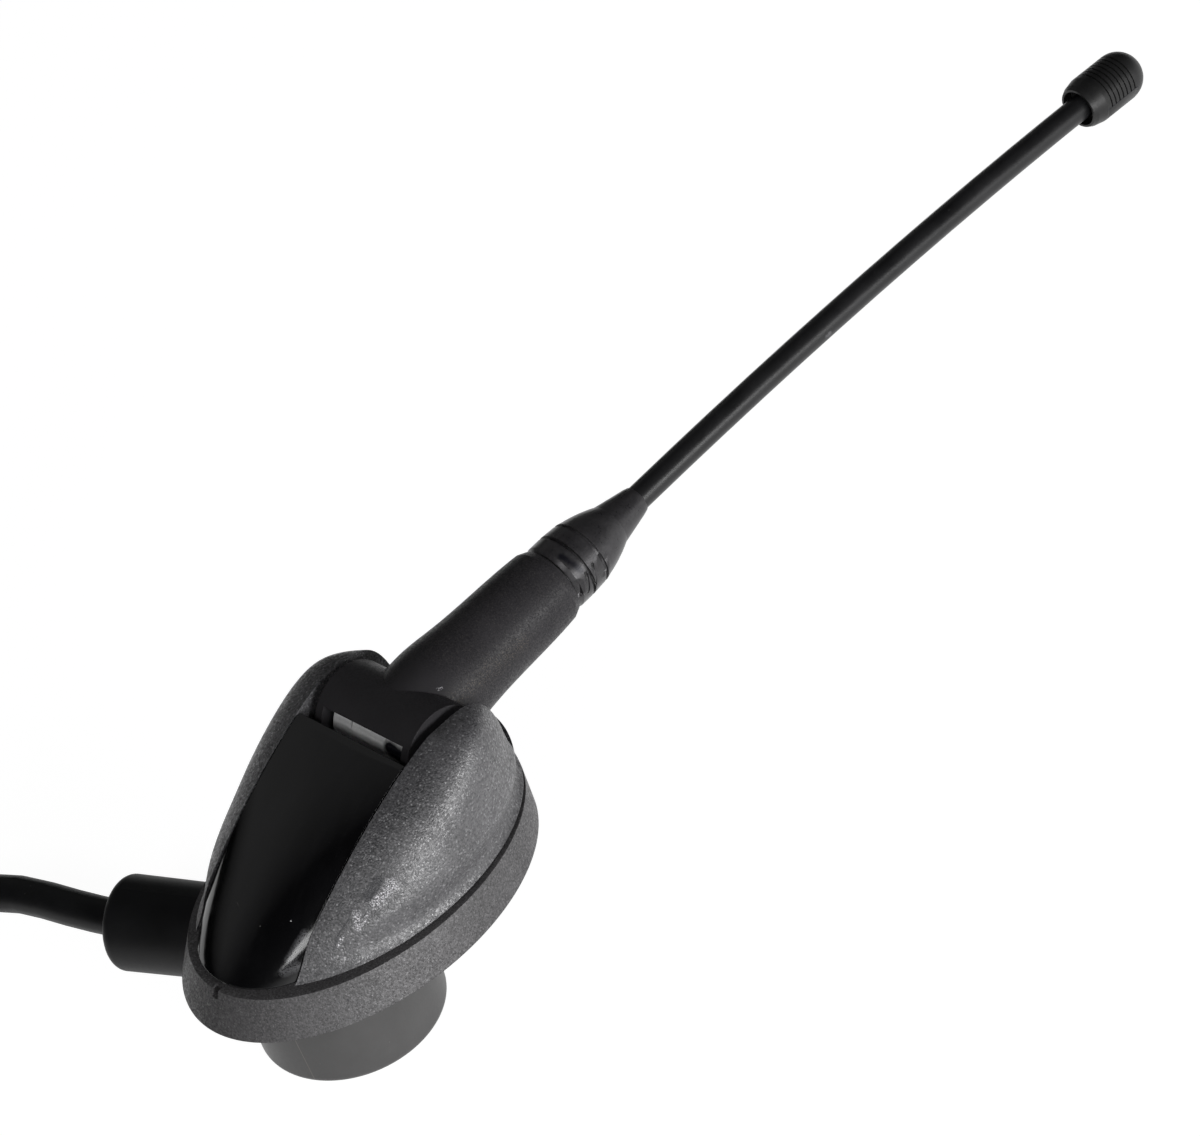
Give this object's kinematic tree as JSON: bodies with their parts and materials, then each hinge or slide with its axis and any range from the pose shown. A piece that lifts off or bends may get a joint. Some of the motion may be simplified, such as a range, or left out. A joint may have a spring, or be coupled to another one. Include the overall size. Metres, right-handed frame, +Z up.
{
  "type": "bolt-on roof antenna",
  "caption": "Low oval roof antenna with a tilting rod, clamped through a round hole by a cup and gasket, with a coiled lead ending in a pin plug.",
  "frame": {"origin": "centre of the clamping cup's flat underside", "axes": "+Z up from the cup to the dome, +Y the way the folded mast points, +X the antenna's right"},
  "size_m": [0.1032, 0.33, 0.044],
  "materials": {
    "foot_plastic": "satin black moulded plastic",
    "shell_plastic": "fine spark-eroded black plastic",
    "gloss_cover": "polished black plastic",
    "gasket_rubber": "fine-grained black rubber",
    "relief_rubber": "soft black moulding",
    "cable_jacket": "black cable jacket",
    "arm_plastic": "satin black moulded plastic",
    "bracket_metal": "dull cast zinc",
    "steel": "zinc plated steel",
    "brass": "turned brass",
    "board_green": "solder-masked board",
    "lead_jacket": "thin lead jacket",
    "strip_metal": "spring bronze strip",
    "ferrule_metal": "black plated metal",
    "whip_jacket": "smooth black sheath",
    "cap_rubber": "moulded black rubber",
    "tie_fabric": "black hook-and-loop tie",
    "plug_metal": "nickel plated",
    "plug_plastic": "natural insulator"
  },
  "bodies": {
    "base": {"foot_cup": "foot_plastic", "fixing_bolt": "steel", "toothed_washer": "steel", "thread_insert": "brass", "roof_gasket": "gasket_rubber", "base_plate": "foot_plastic", "plate_screws": "steel", "bracket_screws": "steel", "base_shell": "shell_plastic", "centre_cover": "gloss_cover", "hinge_bracket": "bracket_metal", "pivot_screw": "steel", "spring_washer": "steel", "pivot_nut": "steel", "circuit_board": "board_green", "board_screws": "steel", "feed_strip": "strip_metal", "inner_lead": "lead_jacket", "strain_relief": "relief_rubber", "cable": "cable_jacket", "cable_coil": "cable_jacket", "coil_tie": "tie_fabric", "lead_end": "cable_jacket", "plug_grip": "relief_rubber", "plug_shell": "plug_metal", "plug_insulator": "plug_plastic", "plug_pin": "plug_metal"},
    "mast": {"pivot_arm": "arm_plastic", "arm_core": "bracket_metal", "mast_stud": "steel", "mast_ferrule": "ferrule_metal", "whip_core": "steel", "whip_jacket": "whip_jacket", "tip_cap": "cap_rubber"}
  },
  "joints": [
    {"name": "mast_tilt", "type": "hinge", "parent": "base", "child": "mast", "pos_m": [0, 0.02365, 0.0362], "axis": [1, 0, 0], "range_deg": [0, 85]}
  ]
}
